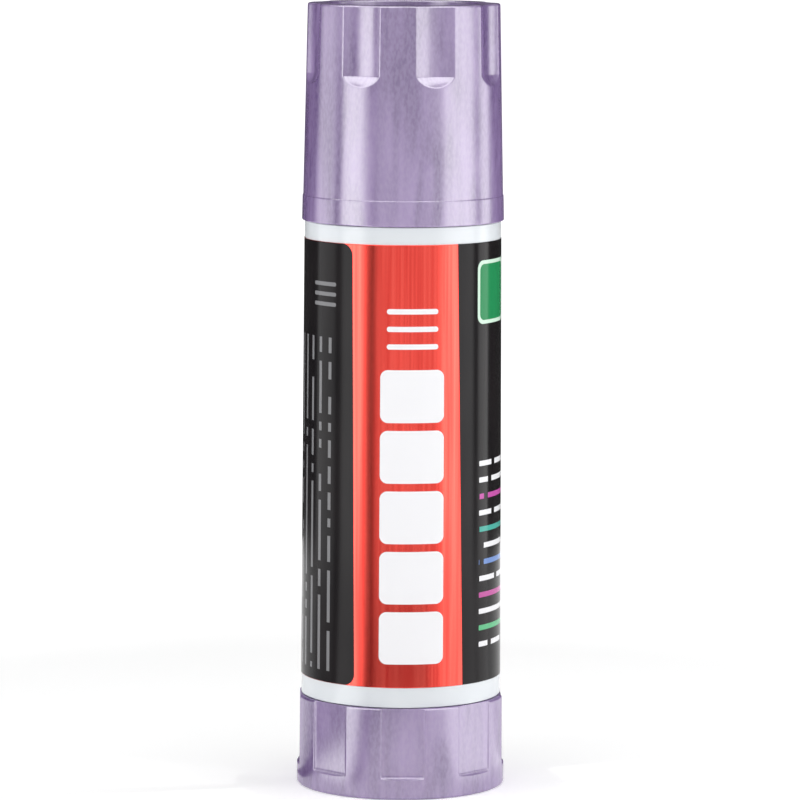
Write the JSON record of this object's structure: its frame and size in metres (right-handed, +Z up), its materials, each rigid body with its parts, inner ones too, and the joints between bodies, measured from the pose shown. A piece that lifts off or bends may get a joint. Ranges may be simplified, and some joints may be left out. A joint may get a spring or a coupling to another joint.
{
  "type": "glue stick",
  "caption": "Twist-up glue stick: a fluted pull-off cap over a labelled barrel, and a base knob that turns a screw and lifts the glue.",
  "frame": {"origin": "centre of the base knob's underside, on the surface that the stick stands on", "axes": "+Z up the stick from the base knob to the cap, -Y is the side of the label's coloured stripe"},
  "size_m": [0.0314, 0.0314, 0.1176],
  "materials": {
    "pearl_plastic": "satin",
    "white_plastic": "gloss",
    "inner_plastic": "satin",
    "label_film": "gloss",
    "solid_glue": "satin"
  },
  "bodies": {
    "barrel": {"barrel": "white_plastic", "label": "label_film"},
    "cap": {"cap": "pearl_plastic"},
    "knob": {"base_knob": "pearl_plastic", "spindle": "inner_plastic"},
    "carriage": {"platform": "inner_plastic", "glue": "solid_glue"}
  },
  "joints": [
    {"name": "cap_pull", "type": "slide", "parent": "barrel", "child": "cap", "axis": [0, 0, 1], "range_m": [0, 0.04]},
    {"name": "knob_turn", "type": "hinge", "parent": "barrel", "child": "knob", "pos_m": [0, 0, 0], "axis": [0, 0, 1], "range_deg": [0, 3604]},
    {"name": "platform_lift", "type": "slide", "parent": "barrel", "child": "carriage", "axis": [0, 0, 1], "range_m": [0, 0.08], "deforming": ["glue"]}
  ],
  "couplings": [
    {"joint": "knob_turn", "follows": "platform_lift", "rad_per_m": 785.4}
  ]
}
